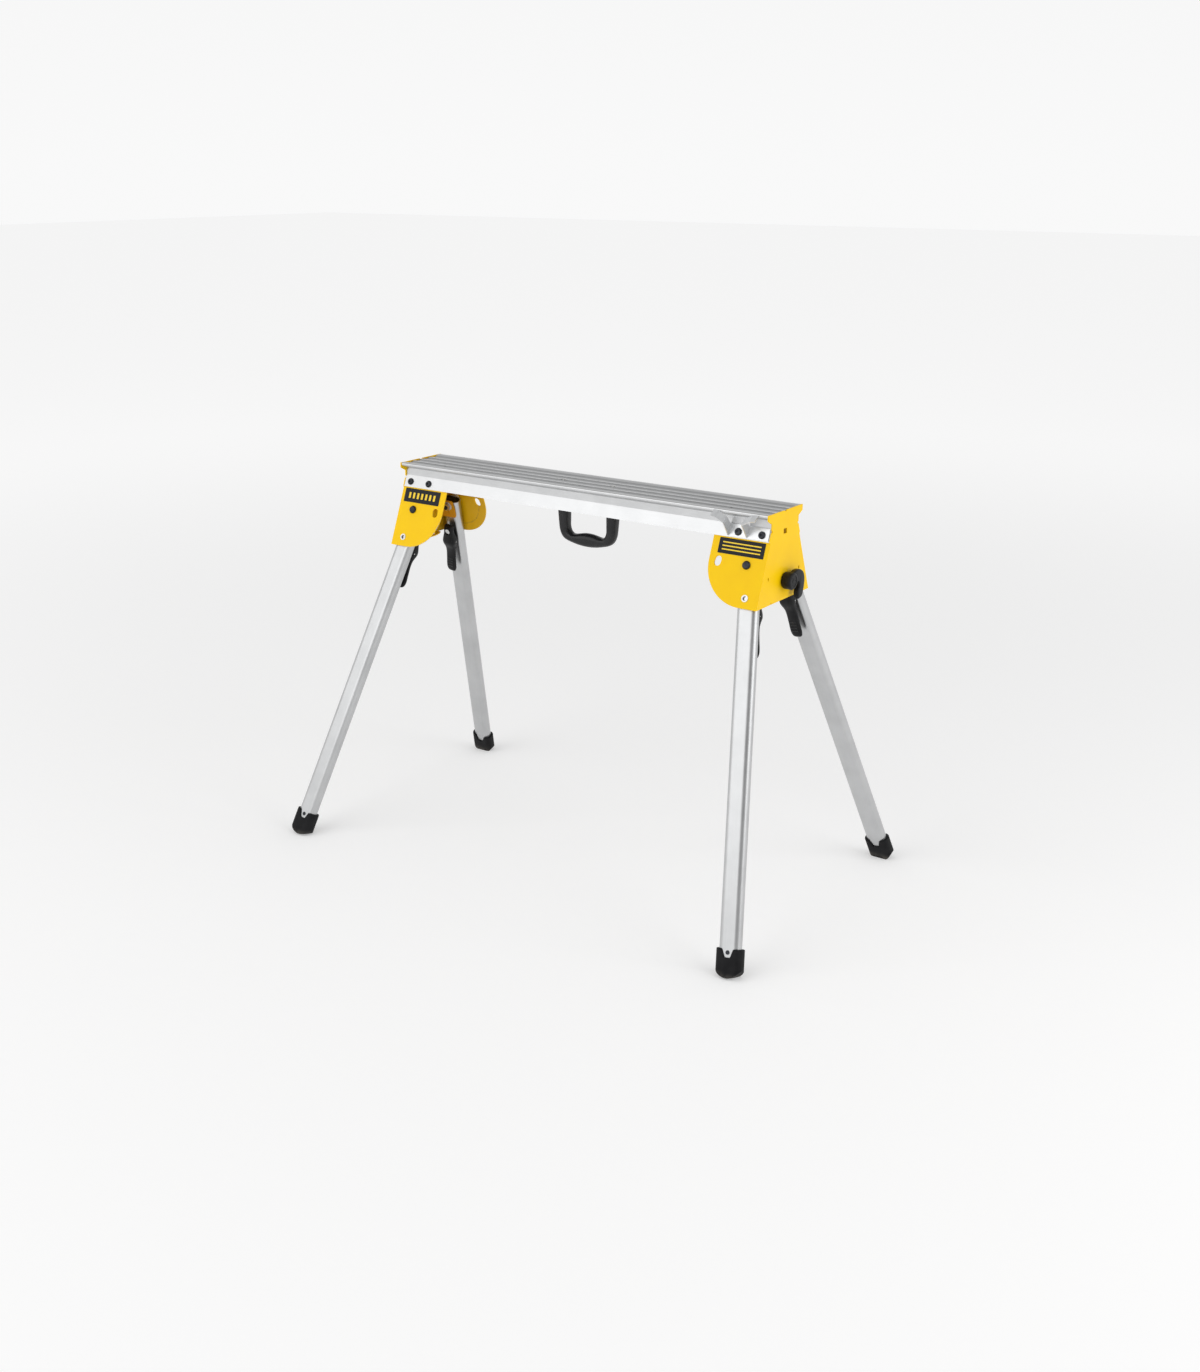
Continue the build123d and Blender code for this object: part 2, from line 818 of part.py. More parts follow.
def build_frame():
    keep("beam", make_beam())
    bracket = make_end_bracket()
    pivot_bracket = make_pivot_bracket()
    stud_hole = Plane.YZ.offset(end_x).location * Pos(hook_y, hook_z, 0) * Cylinder(4.01, 20)
    keep("end_bracket_left", mirror(bracket, about=Plane.YZ))
    keep("end_bracket_right", bracket - stud_hole)
    keep("pivot_bracket_left", mirror(pivot_bracket, about=Plane.YZ))
    keep("pivot_bracket_right", pivot_bracket)
    keep_group("pivot_bolts", all_corners(make_pivot_bolt()))
    keep_group("pivot_nuts", all_corners(make_pivot_nut()))
    washers = [w for part in make_pivot_washers() for w in all_corners(part)]
    keep_group("pivot_washers", washers)
    keep_group("lock_bushes", all_corners(make_lock_bush()))
    screws = []
    for end, side in corners:
        lift = 2.0 if (end, side) == ("right", "front") else 0.0
        for inset in screw_insets:
            screws.append(at_corner(make_beam_screw(inset, lift), end, side))
    keep_group("beam_screws", screws)
    keep("carry_handle", make_carry_handle())
    keep_group("handle_screws", [make_handle_screw(x) for x in handle_screw_xs])
    keep("side_rest", make_side_rest())
    label = make_label(end_x - 58.4)
    keep("label_right", label)
    keep("label_left", mirror(label, about=Plane.YZ))
    keep("hook_pivot", make_hook_pivot())
    keep("transport_hook", make_transport_hook())


def build_legs():
    makers = {
        "leg_tube": make_leg_tube,
        "leg_plug": make_leg_plug,
        "foot_boot": make_foot_boot,
        "boot_screw": make_boot_screw,
        "lever_bracket": make_lever_bracket,
        "lever_pin": make_lever_pin,
        "release_lever": make_release_lever,
        "lock_pin": make_lock_pin,
        "lock_spring": make_lock_spring,
    }
    for name, make in makers.items():
        part = make()
        for end, side in corners:
            keep(f"{name}_{end}_{side}", at_corner(part, end, side))


build_frame()
build_legs()
os.makedirs("parts", exist_ok=True)
for name, part in pieces.items():
    export_step(part, f"parts/{name}.step")
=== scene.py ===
import json
import math
import bmesh
import bpy
from mathutils import Matrix, Vector


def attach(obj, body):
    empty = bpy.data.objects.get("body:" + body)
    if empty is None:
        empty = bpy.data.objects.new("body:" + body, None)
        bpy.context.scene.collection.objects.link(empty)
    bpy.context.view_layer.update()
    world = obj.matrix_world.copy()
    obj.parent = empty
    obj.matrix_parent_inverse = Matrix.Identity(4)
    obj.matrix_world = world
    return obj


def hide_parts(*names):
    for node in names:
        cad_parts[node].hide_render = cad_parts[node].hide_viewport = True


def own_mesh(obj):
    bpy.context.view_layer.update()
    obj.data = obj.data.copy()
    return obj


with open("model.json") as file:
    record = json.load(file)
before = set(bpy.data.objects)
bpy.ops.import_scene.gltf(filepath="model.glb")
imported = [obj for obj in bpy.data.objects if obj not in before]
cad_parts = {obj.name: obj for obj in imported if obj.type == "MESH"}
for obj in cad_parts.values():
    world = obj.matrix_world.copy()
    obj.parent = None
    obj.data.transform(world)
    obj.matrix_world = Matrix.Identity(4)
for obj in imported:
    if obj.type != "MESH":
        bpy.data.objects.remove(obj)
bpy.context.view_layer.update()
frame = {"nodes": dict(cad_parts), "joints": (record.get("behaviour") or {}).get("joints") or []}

joints = {joint["name"]: joint for joint in frame["joints"]}
ends = ("left", "right")
sides = ("front", "rear")
corners = [(end, side) for end in ends for side in sides]
print("frame loaded,", len(frame["nodes"]), "nodes")


# Small tools

class Flow:
    # one socket, with operators, so that shader maths reads as plain maths
    def __init__(self, book, socket):
        self.book = book
        self.socket = socket

    def __add__(self, other):
        return self.book.maths("ADD", self, other)

    def __radd__(self, other):
        return self.book.maths("ADD", other, self)

    def __sub__(self, other):
        return self.book.maths("SUBTRACT", self, other)

    def __rsub__(self, other):
        return self.book.maths("SUBTRACT", other, self)

    def __mul__(self, other):
        return self.book.maths("MULTIPLY", self, other)

    def __rmul__(self, other):
        return self.book.maths("MULTIPLY", other, self)

    def __lt__(self, other):
        return self.book.maths("LESS_THAN", self, other)


class NodeBook:
    # adds nodes to one tree
    def __init__(self, tree):
        self.tree = tree

    def node(self, kind, settings=None, inputs=None):
        made = self.tree.nodes.new(kind)
        for key, value in (settings or {}).items():
            if key == "stops":
                self.setStops(made.color_ramp, value)
            else:
                setattr(made, key, value)
        for key, value in (inputs or {}).items():
            if isinstance(value, Flow):
                self.tree.links.new(value.socket, made.inputs[key])
            else:
                made.inputs[key].default_value = value
        return made

    def get(self, kind, settings=None, inputs=None, output=0):
        return Flow(self, self.node(kind, settings, inputs).outputs[output])

    def setStops(self, ramp, stops):
        while len(ramp.elements) < len(stops):
            ramp.elements.new(0.5)
        for element, (place, shade) in zip(ramp.elements, stops):
            element.position = place
            element.color = (shade, shade, shade, 1)

    def maths(self, operation, first, second=0.0, third=0.0):
        return self.get("ShaderNodeMath", {"operation": operation}, {0: first, 1: second, 2: third})

    def vector(self, operation, first, second=(0, 0, 0), output=0):
        inputs = {0: first, 1: second}
        return self.get("ShaderNodeVectorMath", {"operation": operation}, inputs, output)

    def dot(self, first, direction):
        return self.vector("DOT_PRODUCT", first, tuple(direction), 1)

    def place(self):
        # object coordinates in millimetres
        coordinates = self.get("ShaderNodeTexCoord", None, None, 3)
        return self.vector("MULTIPLY", coordinates, (1000, 1000, 1000))

    def join(self, x, y, z):
        return self.get("ShaderNodeCombineXYZ", None, {0: x, 1: y, 2: z})

    def noise(self, where, scale, detail=3.0, roughness=0.55):
        inputs = {"Vector": where, "Scale": scale, "Detail": detail, "Roughness": roughness}
        return self.get("ShaderNodeTexNoise", None, inputs)

    def ramp(self, value, stops):
        return self.get("ShaderNodeValToRGB", {"stops": stops}, {0: value})

    def step(self, value, low, high):
        # 0 under low, 1 over high
        inputs = {"Value": value, "From Min": low, "From Max": high}
        settings = {"clamp": True, "interpolation_type": "SMOOTHSTEP"}
        return self.get("ShaderNodeMapRange", settings, inputs)

    def blend(self, factor, first, second):
        colours = {0: factor, 6: rgba(first), 7: rgba(second)}
        return self.get("ShaderNodeMix", {"data_type": "RGBA"}, colours, 2)

    def bump(self, height, strength, distance, under=None):
        inputs = {"Height": height, "Strength": strength, "Distance": distance}
        if under is not None:
            inputs["Normal"] = under
        return self.get("ShaderNodeBump", None, inputs)


def rgba(colour):
    return colour if isinstance(colour, Flow) else (*colour, 1.0)


def newFinish(name, **constants):
    material = bpy.data.materials.new(name)
    material.use_nodes = True
    shader = material.node_tree.nodes["Principled BSDF"]
    for key, value in constants.items():
        shader.inputs[key.replace("_", " ")].default_value = value
    return material, NodeBook(material.node_tree), shader


def feed(book, shader, **flows):
    for key, flow in flows.items():
        book.tree.links.new(flow.socket, shader.inputs[key.replace("_", " ")])


# Directions of one leg corner

foldJoint = joints["leg_fold_right_front"]
leverJoint = joints["lever_right_front"]
pivot = Vector(foldJoint["pos_m"]) * 1000
outward = -Vector(foldJoint["axis"]).normalized()
acrossLeg = -Vector(leverJoint["axis"]).normalized()
downLeg = acrossLeg.cross(outward)
upSlope = outward.cross(Vector((1, 0, 0)))


def legPoint(down, across, depth):
    # millimetres down the leg, across it, and in from the cheek's outer face
    return pivot + downLeg * down + acrossLeg * across - outward * depth


def cheekPoint(along, up, depth):
    return pivot + Vector((along, 0, 0)) + upSlope * up - outward * depth


def flipped(point, end, side):
    x = -point.x if end == "left" else point.x
    y = -point.y if side == "rear" else point.y
    return Vector((x, y, point.z))


# Finishes

legLook = {"light": (0.57, 0.575, 0.58), "dark": (0.50, 0.505, 0.51), "roughness": 0.32, "lines": 0.10}
beamLook = {"light": (0.63, 0.635, 0.64), "dark": (0.56, 0.565, 0.57), "roughness": 0.34, "lines": 0.10,
            "panel": (0.36, 0.365, 0.37), "panelHalf": 56.5, "panelLow": 805.4, "panelHigh": 811.0}


def aluminiumFinish(name, direction, look):
    # drawn metal: fine lines along one direction, soft clouding, a few rub marks
    material, book, shader = newFinish(name, Metallic=1.0)
    place = book.place()
    along = Vector(direction).normalized()
    sideways = along.orthogonal().normalized()
    third = along.cross(sideways)
    a = book.dot(place, along)
    b = book.dot(place, sideways)
    c = book.dot(place, third)
    lines = book.noise(book.join(a * 0.012, b * 2.6, c * 2.6), 1.0, 4.0)
    hair = book.noise(book.join(a * 0.05, b * 9.0, c * 9.0), 1.0, 2.0)
    cloud = book.noise(place, 0.018, 3.0)
    rubs = book.step(book.noise(book.join(a * 0.03, b * 0.9, c * 0.9), 1.0, 5.0, 0.7), 0.66, 0.72)
    tone = book.step(cloud * 0.6 + lines * 0.4, 0.32, 0.68)
    colour = book.blend(tone, look["dark"], look["light"])
    if "panel" in look:
        # the grooves between the ribs on top are darker
        parts = book.node("ShaderNodeSeparateXYZ", None, {0: place})
        y, z = Flow(book, parts.outputs[1]), Flow(book, parts.outputs[2])
        within = 1 - book.step(book.maths("ABSOLUTE", y), look["panelHalf"], look["panelHalf"] + 0.8)
        under = 1 - book.step(z, look["panelHigh"], look["panelHigh"] + 0.6)
        band = book.step(z, look["panelLow"] - 0.4, look["panelLow"]) * under
        colour = book.blend(within * band * (0.75 + cloud * 0.3), colour, look["panel"])
    rough = look["roughness"] + lines * look["lines"] + cloud * 0.08 + rubs * 0.08 - 0.08
    relief = book.bump(lines * 0.6 + hair * 0.4 - rubs * 0.5, 0.10, 0.00012)
    feed(book, shader, Base_Color=colour, Roughness=rough, Normal=relief)
    return material


coatLook = {
    "yellow": ((1.0, 0.63, 0.0), (0.97, 0.59, 0.0)),
    "amber": ((0.82, 0.36, 0.01), (0.70, 0.29, 0.01)),
    # colour and strength of the painted shade on the inner faces of the cheeks
    "inner": (0.52, 0.25, 0.01),
    "innerShade": 0.5,
    "peel": 0.05,
    "roughness": 0.34,
    "rubRadius": 64.0,
    "edgeRadius": 82.3,
}


def coatFinish(name, light, dark, look):
    # powder coat: orange peel, soft clouding, chips along the round edge, a rub from the lock pin, and
    # painted shade on the inner faces of the cheeks
    material, book, shader = newFinish(name, Coat_Weight=0.03, Coat_Roughness=0.2, Specular_IOR_Level=0.16)
    place = book.place()
    parts = book.node("ShaderNodeSeparateXYZ", None, {0: place})
    x, y, z = (Flow(book, parts.outputs[i]) for i in range(3))
    folded = book.join(book.maths("ABSOLUTE", x), book.maths("ABSOLUTE", y) * -1, z)
    local = book.vector("SUBTRACT", folded, tuple(pivot))
    along = book.dot(local, (1, 0, 0))
    up = book.dot(local, upSlope)
    depth = book.dot(local, outward) * -1
    reach = book.maths("SQRT", along * along + up * up)
    grain = book.noise(place, 0.55, 3.0, 0.6)
    cloud = book.noise(place, 0.02, 2.0)
    ragged = book.noise(place, 0.32, 4.0, 0.65)
    inside = book.step(depth, 2.1, 2.4) * (1 - book.step(depth, 3.5, 4.0))
    ring = 1 - book.step(book.maths("ABSOLUTE", reach - look["rubRadius"]), 0.8, 2.4)
    rub = ring * inside * book.step(ragged, 0.40, 0.58) * (along < 5.0)
    edge = book.step(reach + (ragged - 0.5) * 2.4, look["edgeRadius"], look["edgeRadius"] + 0.5)
    chip = edge * book.step(ragged, 0.54, 0.58) * (up < 0.0) * (along < 0.0)
    base = book.blend(book.step(cloud * 0.7 + grain * 0.3, 0.3, 0.7), dark, light)
    # painted shade: inner faces near the pivot are blended towards a darker mustard to stand for the shadow
    # inside the bracket
    paintedShadeMask = book.step(depth, 1.4, 2.3) * (along < 39.0) * look["innerShade"]
    shadedCoat = book.blend(paintedShadeMask, base, look["inner"])
    worn = book.blend(rub * 0.55, shadedCoat, (0.30, 0.19, 0.04))
    colour = book.blend(chip, worn, (0.34, 0.33, 0.31))
    rough = look["roughness"] + grain * 0.08 + cloud * 0.06 + rub * 0.15
    relief = book.bump(grain * 0.8 - chip * 1.2 - rub * 0.2, look["peel"], 0.0006)
    feed(book, shader, Base_Color=colour, Roughness=rough, Metallic=chip * 0.7, Normal=relief)
    return material


def mouldedFinish(name, look):
    # moulded plastic or rubber: fine grain, soft sheen changes, dust low down where it stands on the floor
    material, book, shader = newFinish(name, **look.get("constants", {}))
    place = book.place()
    height = Flow(book, book.node("ShaderNodeSeparateXYZ", None, {0: place}).outputs[2])
    grain = book.noise(place, look["grain"], 2.0, 0.6)
    cloud = book.noise(place, 0.05, 3.0)
    scuff = book.step(book.noise(place, 0.25, 5.0, 0.7), 0.60, 0.70)
    dust = (1 - book.step(height, 1.0, look["dustHeight"])) * book.step(cloud, 0.35, 0.6)
    base = book.blend(book.step(cloud, 0.3, 0.7), look["dark"], look["light"])
    colour = book.blend(dust * 0.5, base, (0.13, 0.12, 0.105))
    rough = look["roughness"] + cloud * 0.12 + scuff * 0.06 + dust * 0.15 - 0.06
    relief = book.bump(grain + scuff * 0.3, look["relief"], 0.0003)
    feed(book, shader, Base_Color=colour, Roughness=rough, Normal=relief)
    return material


def platedFinish(name, light, dark, roughness, metallic=1.0, spangle=0.0):
    # plated steel: clouded plating, faint spangle and fine handling marks
    material, book, shader = newFinish(name, Metallic=metallic)
    place = book.place()
    cloud = book.noise(place, 0.12, 4.0)
    marks = book.step(book.noise(place, 0.9, 4.0, 0.7), 0.58, 0.70)
    crystals = book.get("ShaderNodeTexVoronoi", None, {"Vector": place, "Scale": 0.35}, 1)
    shade = book.dot(crystals, (0.33, 0.33, 0.33))
    colour = book.blend(book.step(cloud * (1 - spangle) + shade * spangle, 0.25, 0.75), dark, light)
    rough = roughness + cloud * 0.12 + marks * 0.08 + shade * spangle * 0.2 - 0.06
    relief = book.bump(cloud + marks * 0.4, 0.06, 0.0003)
    feed(book, shader, Base_Color=colour, Roughness=rough, Normal=relief)
    return material


plasticLook = {"light": (0.014, 0.014, 0.015), "dark": (0.007, 0.007, 0.008), "grain": 2.2, "relief": 0.12,
               "roughness": 0.36, "dustHeight": 1.5, "constants": {"Specular_IOR_Level": 0.16}}
rubberLook = {"light": (0.015, 0.015, 0.016), "dark": (0.008, 0.008, 0.009), "grain": 1.2, "relief": 0.22,
              "roughness": 0.58, "dustHeight": 16.0, "constants": {"Specular_IOR_Level": 0.12}}
filmLook = {"light": (0.013, 0.014, 0.017), "dark": (0.009, 0.010, 0.012), "grain": 3.0, "relief": 0.03,
            "roughness": 0.36, "dustHeight": 1.5, "constants": {"Specular_IOR_Level": 0.18}}
gripLook = {"light": (0.016, 0.016, 0.017), "dark": (0.009, 0.009, 0.010), "grain": 2.2, "relief": 0.10,
            "roughness": 0.26, "dustHeight": 1.5, "constants": {"Specular_IOR_Level": 0.32}}
inkLook = {"light": (1.0, 0.70, 0.01), "dark": (0.94, 0.62, 0.01), "grain": 3.0, "relief": 0.03,
           "roughness": 0.36, "dustHeight": 1.5}
nylonLook = {"light": (0.62, 0.61, 0.57), "dark": (0.50, 0.49, 0.45), "grain": 1.6, "relief": 0.08,
             "roughness": 0.42, "dustHeight": 1.5}

finishes = {
    "beamMetal": aluminiumFinish("beamMetal", (1, 0, 0), beamLook),
    "yellowCoat": coatFinish("yellowCoat", *coatLook["yellow"], coatLook),
    "amberCoat": coatFinish("amberCoat", *coatLook["amber"], coatLook),
    "plastic": mouldedFinish("blackPlastic", plasticLook),
    "rubber": mouldedFinish("bootRubber", rubberLook),
    "grip": mouldedFinish("gripPlastic", gripLook),
    "film": mouldedFinish("labelFilm", filmLook),
    "ink": mouldedFinish("labelInk", inkLook),
    "nylon": mouldedFinish("washerNylon", nylonLook),
    "zinc": platedFinish("brightZinc", (0.66, 0.66, 0.65), (0.46, 0.46, 0.45), 0.26),
    "zincSheet": platedFinish("zincSheet", (0.80, 0.81, 0.82), (0.70, 0.71, 0.72), 0.30, 0.65, 0.10),
    "wire": platedFinish("springWire", (0.60, 0.60, 0.60), (0.42, 0.42, 0.42), 0.28),
    "blackSteel": platedFinish("blackSteel", (0.045, 0.048, 0.055), (0.018, 0.019, 0.022), 0.30, 0.85),
}
for end, side in corners:
    legWay = flipped(downLeg, end, side)
    finishes[f"leg_{end}_{side}"] = aluminiumFinish(f"legMetal_{end}_{side}", legWay, legLook)

finishOfNode = [
    ("beam_screws", "blackSteel"), ("beam", "beamMetal"), ("end_bracket", "yellowCoat"),
    ("pivot_bracket", "amberCoat"), ("pivot_bolts", "blackSteel"), ("pivot_nuts", "zinc"),
    ("pivot_washers", "nylon"), ("lock_bushes", "zinc"), ("handle_screws", "zinc"), ("carry_handle", "grip"),
    ("side_rest", "zincSheet"), ("label", "film"), ("hook_pivot", "zinc"), ("transport_hook", "plastic"),
    ("leg_plug", "plastic"), ("foot_boot", "rubber"), ("boot_screw", "blackSteel"), ("lever_bracket", "zinc"),
    ("lever_pin", "zinc"), ("release_lever", "plastic"), ("lock_pin", "zinc"), ("lock_spring", "wire"),
]


def paint(thing, material):
    thing.data.materials.clear()
    thing.data.materials.append(material)


for nodeName, thing in frame["nodes"].items():
    if nodeName.startswith("leg_tube_"):
        paint(thing, finishes[nodeName.replace("leg_tube_", "leg_")])
        continue
    key = next(finish for start, finish in finishOfNode if nodeName.startswith(start))
    paint(thing, finishes[key])
print("finishes made:", len(finishes))


# Mesh tools

def makePiece(name, points, faces, material, smoothAngle=35.0):
    # points in millimetres, in the shared frame
    mesh = bpy.data.meshes.new(name)
    mesh.from_pydata([tuple(p * 0.001) for p in points], [], faces)
    tidy = bmesh.new()
    tidy.from_mesh(mesh)
    bmesh.ops.remove_doubles(tidy, verts=tidy.verts, dist=1e-6)
    bmesh.ops.recalc_face_normals(tidy, faces=tidy.faces)
    tidy.to_mesh(mesh)
    tidy.free()
    thing = bpy.data.objects.new(name, mesh)
    bpy.context.scene.collection.objects.link(thing)
    mesh.materials.append(material)
    for face in mesh.polygons:
        face.use_smooth = True
    mesh.set_sharp_from_angle(angle=math.radians(smoothAngle))
    return thing


def bakeModifiers(thing):
    # swaps the object's mesh for the evaluated one, and drops its modifiers
    bpy.context.view_layer.update()
    evaluated = thing.evaluated_get(bpy.context.evaluated_depsgraph_get())
    mesh = bpy.data.meshes.new_from_object(evaluated)
    thing.modifiers.clear()
    thing.data = mesh
    return thing


def cutWith(thing, cutters):
    for cutter in cutters:
        modifier = thing.modifiers.new("cut", "BOOLEAN")
        modifier.operation = "DIFFERENCE"
        modifier.solver = "EXACT"
        modifier.object = cutter
    bakeModifiers(thing)
    for cutter in cutters:
        bpy.data.objects.remove(cutter)
    return thing


def smoothByAngle(thing, angle):
    for face in thing.data.polygons:
        face.use_smooth = True
    thing.data.set_sharp_from_angle(angle=math.radians(angle))


def sample(stops, place):
    # smooth curve through (place, value) stops
    if place <= stops[0][0]:
        return stops[0][1]
    for index in range(len(stops) - 1):
        (p1, v1), (p2, v2) = stops[index], stops[index + 1]
        if place <= p2:
            p0, v0 = stops[max(index - 1, 0)]
            p3, v3 = stops[min(index + 2, len(stops) - 1)]
            t = (place - p1) / (p2 - p1)
            slopeIn = (v2 - v0) / (p2 - p0) * (p2 - p1)
            slopeOut = (v3 - v1) / (p3 - p1) * (p2 - p1)
            a = 2 * t**3 - 3 * t**2 + 1
            b = t**3 - 2 * t**2 + t
            c = -2 * t**3 + 3 * t**2
            d = t**3 - t**2
            return a * v1 + b * slopeIn + c * v2 + d * slopeOut
    return stops[-1][1]


def loft(rings):
    # closed skin over rings of equal length, with a point at each end
    count = len(rings[0])
    points = [p for ring in rings for p in ring]
    faces = []
    for row in range(len(rings) - 1):
        for i in range(count):
            j = (i + 1) % count
            faces.append((row * count + i, row * count + j, (row + 1) * count + j, (row + 1) * count + i))
    for row in (0, len(rings) - 1):
        middle = sum(rings[row], Vector()) / count
        points.append(middle)
        hub = len(points) - 1
        for i in range(count):
            faces.append((row * count + i, row * count + (i + 1) % count, hub))
    return points, faces


def softBox(half, low, high, power, count):
    # rounded section: (across, height) pairs
    result = []
    for i in range(count):
        angle = math.tau * (i + 0.5) / count
        c, s = math.cos(angle), math.sin(angle)
        across = half * math.copysign(abs(c) ** (2 / power), c)
        rise = math.copysign(abs(s) ** (2 / power), s)
        result.append((across, (low + high) / 2 + (high - low) / 2 * rise))
    return result


def rodPoints(start, finish, radius, count=40):
    way = (finish - start).normalized()
    sideways = way.orthogonal().normalized()
    other = way.cross(sideways)
    turn = [math.tau * i / count for i in range(count)]
    spokes = [(sideways * math.cos(a) + other * math.sin(a)) * radius for a in turn]
    return [[end + spoke for spoke in spokes] for end in (start, finish)]


def makeRod(name, start, finish, radius):
    points, faces = loft(rodPoints(start, finish, radius))
    return makePiece(name, points, faces, finishes["plastic"])


def makeSlab(name, outline, thickness, material, edge=0.0, segments=3, smoothAngle=35.0):
    # flat outline of points, thickened along a vector, with rounded edges
    count = len(outline)
    points = list(outline) + [p + thickness for p in outline]
    faces = [tuple(range(count)), tuple(range(2 * count - 1, count - 1, -1))]
    faces += [(i, (i + 1) % count, count + (i + 1) % count, count + i) for i in range(count)]
    thing = makePiece(name, points, faces, material, smoothAngle)
    if edge:
        modifier = thing.modifiers.new("edge", "BEVEL")
        modifier.width = edge * 0.001
        modifier.segments = segments
        modifier.limit_method = "ANGLE"
        modifier.angle_limit = math.radians(50)
        bakeModifiers(thing)
        smoothByAngle(thing, smoothAngle)
    return thing


def mirroredCopies(thing, baseName):
    # one copy of a right front piece for every corner, named after it
    copies = {}
    for end, side in corners:
        mesh = thing.data.copy()
        mesh.name = f"{baseName}_{end}_{side}"
        signs = (-1 if end == "left" else 1, -1 if side == "rear" else 1, 1)
        mesh.transform(Matrix.Diagonal((*signs, 1)))
        if signs[0] * signs[1] < 0:
            mesh.flip_normals()
        copy = bpy.data.objects.new(mesh.name, mesh)
        bpy.context.scene.collection.objects.link(copy)
        copies[(end, side)] = copy
    bpy.data.objects.remove(thing)
    return copies


# Geometry node tools

def newTree(name, inputs):
    # a tree with a geometry output and named inputs
    # gives the book, its input flows and the group's identifiers
    tree = bpy.data.node_groups.new(name, "GeometryNodeTree")
    tree.interface.new_socket("Geometry", in_out="OUTPUT", socket_type="NodeSocketGeometry")
    names = {}
    for label, kind, value in inputs:
        socket = tree.interface.new_socket(label, in_out="INPUT", socket_type=kind)
        if value is not None:
            socket.default_value = value
        names[label] = socket.identifier
    book = NodeBook(tree)
    source = book.node("NodeGroupInput")
    flows = {label: Flow(book, source.outputs[label]) for label, _, _ in inputs}
    return book, flows, names


def closeTree(book, geometry, material):
    whole = book.get("GeometryNodeRealizeInstances", None, {0: geometry})
    finished = book.get("GeometryNodeSetMaterial", None, {0: whole})
    finished.socket.node.inputs["Material"].default_value = material
    book.node("NodeGroupOutput", None, {0: finished})


def growPiece(name, book, names, values, matrix):
    # runs a tree on an empty mesh, and lays the result in the shared frame
    thing = bpy.data.objects.new(name, bpy.data.meshes.new(name))
    bpy.context.scene.collection.objects.link(thing)
    modifier = thing.modifiers.new("grow", "NODES")
    modifier.node_group = book.tree
    for label, value in values.items():
        modifier[names[label]] = value
    bakeModifiers(thing)
    thing.data.transform(matrix)
    thing.data.name = name
    return thing


def frameMatrix(origin, xWay, yWay, zWay):
    # local millimetre axes laid in the shared frame
    basis = Matrix((xWay, yWay, zWay)).transposed().to_4x4()
    return Matrix.Translation(origin * 0.001) @ basis @ Matrix.Scale(0.001, 4)


# Release levers

leverSizes = {
    "back": 30.3,
    "width": [(49, 8.6), (52, 10.6), (60, 11.4), (70, 12.0), (80, 14.4), (88, 16.0), (95, 16.0), (106, 13.4),
              (118, 12.4), (140, 12.4), (160, 12.4), (169, 10.4), (173, 7.4), (175, 2.4)],
    "top": [(49, 11), (52, 15), (60, 17.4), (76, 20.4), (86, 22.9), (92, 23.5), (99, 22.2), (110, 18.6),
            (124, 17.6), (140, 19.4), (158, 22.2), (168, 22.2), (173, 19.8), (175, 16.0)],
    "low": [(49, 6.5), (52, 4.0), (72, 3.5), (88, 1.2), (100, 3.4), (112, 6.2), (130, 9.4), (150, 12.2),
            (168, 13.6), (175, 14.8)],
    "rings": 64,
    "ringPoints": 36,
    "ribs": 4,
    "ribSpacing": 6.6,
    "ribHalf": 7.6,
    "ribRadius": 1.15,
    "ribSag": 1.6,
    "firstRib": 138.0,
}


def makeLevers(sizes):
    rings = []
    back = sizes["back"]
    for i in range(sizes["rings"] + 1):
        t = i / sizes["rings"]
        down = 49 + 126 * (0.5 - 0.5 * math.cos(math.pi * t))
        half = sample(sizes["width"], down)
        high = sample(sizes["top"], down)
        low = min(sample(sizes["low"], down), high - 0.8)
        power = 3.2 if down < 110 else 2.7
        section = softBox(half, low, high, power, sizes["ringPoints"])
        rings.append([legPoint(down, across, back + rise) for across, rise in section])
    points, faces = loft(rings)
    lever = makePiece("lever", points, faces, finishes["plastic"], 50)
    bore = makeRod("bore", legPoint(64, 0, back - 2), legPoint(64, 0, back + 30), 5.4)
    seat = makeRod("seat", legPoint(64, 0, back + 14), legPoint(64, 0, back + 30), 7.4)
    axle = makeRod("axle", legPoint(93, -20, back + 9), legPoint(93, 20, back + 9), 2.05)
    outline = [(80, -1), (80, 10), (85, 15.2), (101, 15.2), (106, 8), (106, -1)]
    pocket = makeSlab("pocket", [legPoint(d, -9.1, back + h) for d, h in outline], acrossLeg * 18.2,
                      finishes["plastic"])
    cutWith(lever, [bore, seat, axle, pocket])
    smoothByAngle(lever, 40)
    return mirroredCopies(lever, "lever")


def ribTree():
    book, flows, names = newTree("gripRibs", [
        ("Count", "NodeSocketInt", 4), ("Spacing", "NodeSocketFloat", 6.6), ("Half", "NodeSocketFloat", 7.6),
        ("Radius", "NodeSocketFloat", 0.95), ("Sag", "NodeSocketFloat", 1.6)])
    half = flows["Half"]
    start = book.join(half * -1, 0.0, 0.0)
    end = book.join(half, 0.0, 0.0)
    middle = book.join(0.0, flows["Sag"], 0.0)
    bend = {"Resolution": 14, "Start": start, "Middle": middle, "End": end}
    bow = book.get("GeometryNodeCurveQuadraticBezier", None, bend)
    thickness = {"Resolution": 10, "Radius": flows["Radius"]}
    ring = book.get("GeometryNodeCurvePrimitiveCircle", {"mode": "RADIUS"}, thickness)
    bar = book.get("GeometryNodeCurveToMesh", None, {"Curve": bow, "Profile Curve": ring, "Fill Caps": True})
    line = book.get("GeometryNodeMeshLine", {"mode": "OFFSET"},
                    {"Count": flows["Count"], "Offset": book.join(0.0, flows["Spacing"], 0.0)})
    rows = book.get("GeometryNodeInstanceOnPoints", None, {"Points": line, "Instance": bar})
    soft = book.get("GeometryNodeSetShadeSmooth", None, {"Geometry": rows})
    closeTree(book, soft, finishes["grip"])
    return book, names


